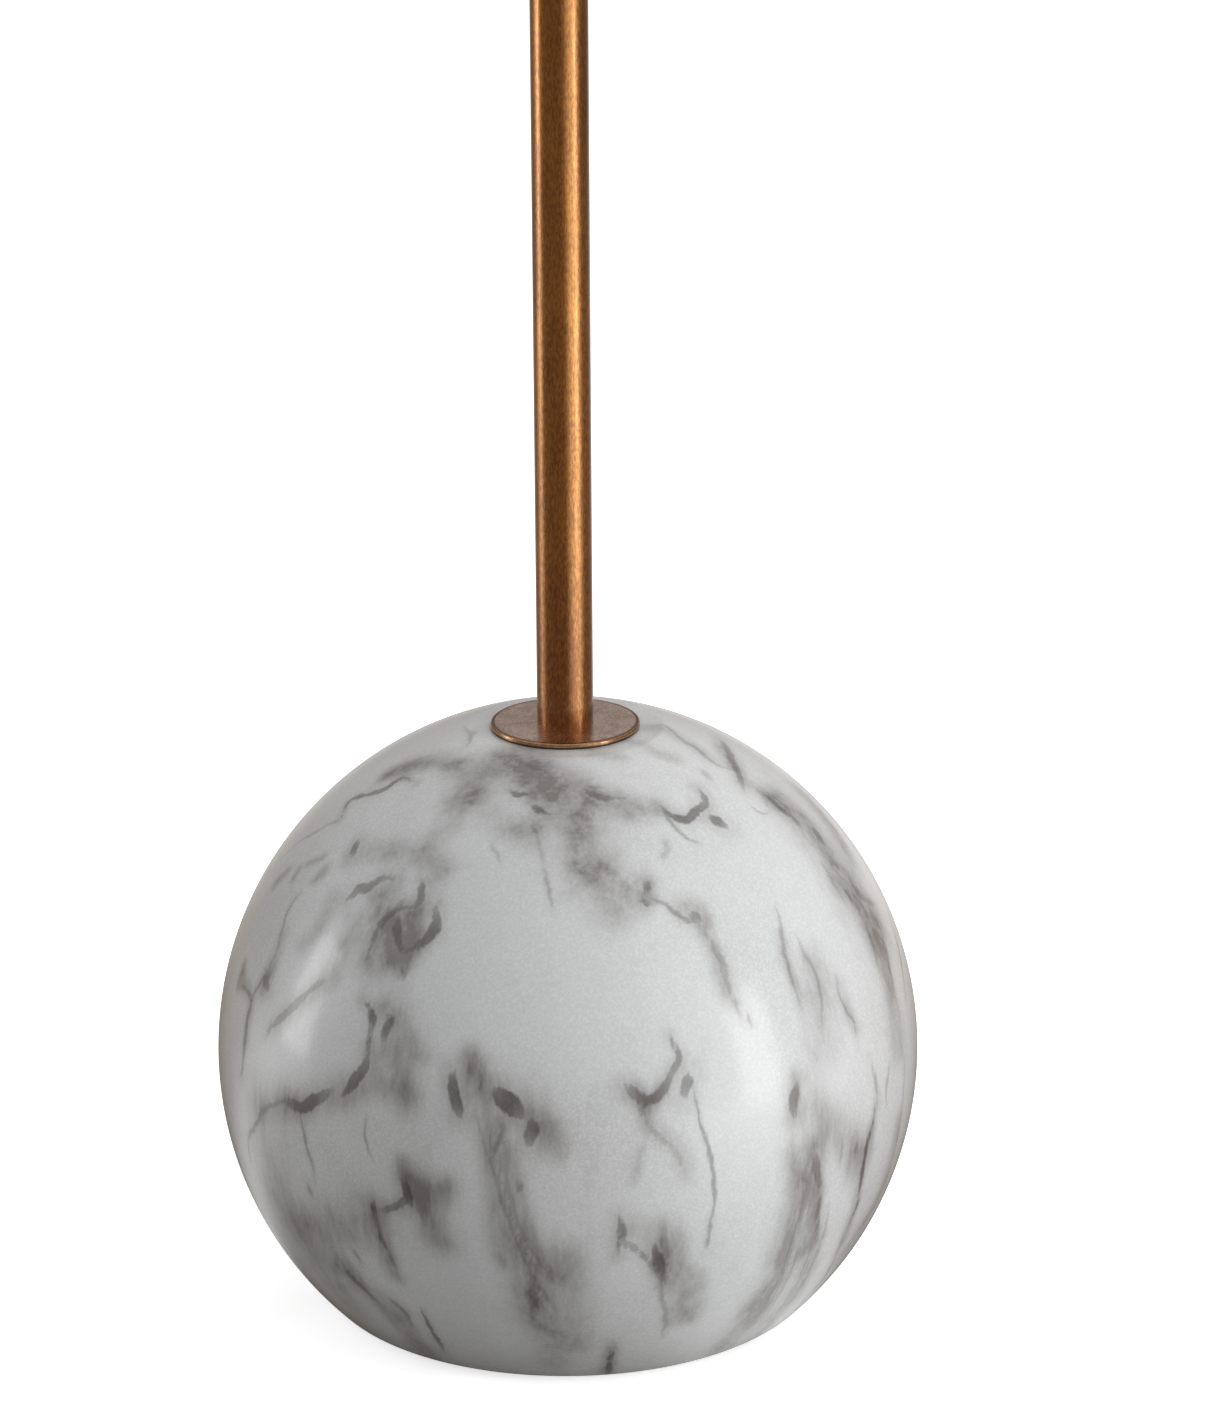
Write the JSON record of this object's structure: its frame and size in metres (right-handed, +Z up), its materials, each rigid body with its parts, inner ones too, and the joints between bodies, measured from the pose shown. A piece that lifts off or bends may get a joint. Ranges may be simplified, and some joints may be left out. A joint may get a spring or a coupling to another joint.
{
  "type": "floor lamp",
  "caption": "Floor lamp with a marbled ball foot, a straight antique-brass pole and an opal glass globe over a screw-in lamp.",
  "frame": {"origin": "on the floor, under the pole's axis", "axes": "+Z up along the pole, -Y the front with the dimmer knob, +Y the back with the cord gland"},
  "size_m": [0.2399, 0.2398, 1.563],
  "materials": {
    "felt": "matt felt",
    "marble_print": "cast resin with a marbled print under gloss lacquer",
    "steel": "bare steel",
    "zinc_steel": "zinc plated",
    "iron": "rough casting",
    "black_plastic": "moulded",
    "white_plastic": "moulded",
    "lead_jacket": "smooth jacket",
    "flange_brass": "antiqued, polished",
    "antique_brass": "antiqued, brushed along its length",
    "contact_brass": "bare brass",
    "black_glass": "black glass",
    "nickel_cap": "nickel plated",
    "board": "solder mask",
    "board_white": "white solder mask",
    "chip_yellow": "phosphor",
    "opal_plastic": "opal",
    "seal_rubber": "soft silicone",
    "opal_glass": "opal glass, satin"
  },
  "bodies": {
    "stand": {"felt_pad": "felt", "marble_ball": "marble_print", "base_plate": "steel", "plate_screws": "zinc_steel", "ballast_weight": "iron", "tie_tube": "zinc_steel", "tie_washer": "zinc_steel", "tie_spring_washer": "zinc_steel", "tie_nut": "zinc_steel", "cord_gland": "black_plastic", "gland_nut": "black_plastic", "terminal_block": "white_plastic", "supply_lead": "lead_jacket", "crown_flange": "flange_brass", "pole_foot_plug": "zinc_steel", "lower_pole": "antique_brass", "middle_pole": "antique_brass", "upper_pole": "antique_brass", "lower_coupler": "zinc_steel", "upper_coupler": "zinc_steel", "pole_head_plug": "zinc_steel", "head_nipple": "zinc_steel", "head_nipple_nut": "zinc_steel", "switch_housing": "antique_brass", "dimmer_body": "black_plastic", "dimmer_nut": "zinc_steel", "globe_holder": "antique_brass", "holder_nipple": "zinc_steel", "holder_nipple_nut": "zinc_steel", "lamp_lead": "lead_jacket", "lamp_holder": "white_plastic", "contact_base": "white_plastic", "centre_contact": "contact_brass", "screw_shell": "contact_brass", "globe_seal": "seal_rubber"},
    "dimmer": {"dimmer_shaft": "steel", "dimmer_knob": "antique_brass"},
    "globe": {"glass_globe": "opal_glass", "globe_collar": "antique_brass", "collar_cup": "antique_brass", "collar_nut": "contact_brass"},
    "lamp": {"lamp_tip_contact": "steel", "lamp_insulator": "black_glass", "lamp_cap": "nickel_cap", "lamp_housing": "white_plastic", "driver_board": "board", "light_board": "board_white", "light_chips": "chip_yellow", "lamp_diffuser": "opal_plastic"},
    "thumb_screw_1": {"thumb_screw_1": "antique_brass"},
    "thumb_screw_2": {"thumb_screw_2": "antique_brass"},
    "thumb_screw_3": {"thumb_screw_3": "antique_brass"}
  },
  "joints": [
    {"name": "dimmer_turn", "type": "hinge", "parent": "stand", "child": "dimmer", "pos_m": [0, -0.0265, 1.31008], "axis": [0, -1, 0], "range_deg": [-270, 0]},
    {"name": "globe_lift", "type": "slide", "parent": "stand", "child": "globe", "axis": [0, 0, 1], "range_m": [0, 0.12]},
    {"name": "lamp_unscrew", "type": "hinge", "parent": "stand", "child": "lamp", "pos_m": [0, 0, 1.35508], "axis": [0, 0, 1], "range_deg": [0, 900]},
    {"name": "thumb_screw_1_back_out", "type": "slide", "parent": "stand", "child": "thumb_screw_1", "axis": [0, 1, 0], "range_m": [0, 0.0035]},
    {"name": "thumb_screw_2_back_out", "type": "slide", "parent": "stand", "child": "thumb_screw_2", "axis": [-0.866, -0.5, 0], "range_m": [0, 0.0035]},
    {"name": "thumb_screw_3_back_out", "type": "slide", "parent": "stand", "child": "thumb_screw_3", "axis": [0.866, -0.5, 0], "range_m": [0, 0.0035]}
  ]
}
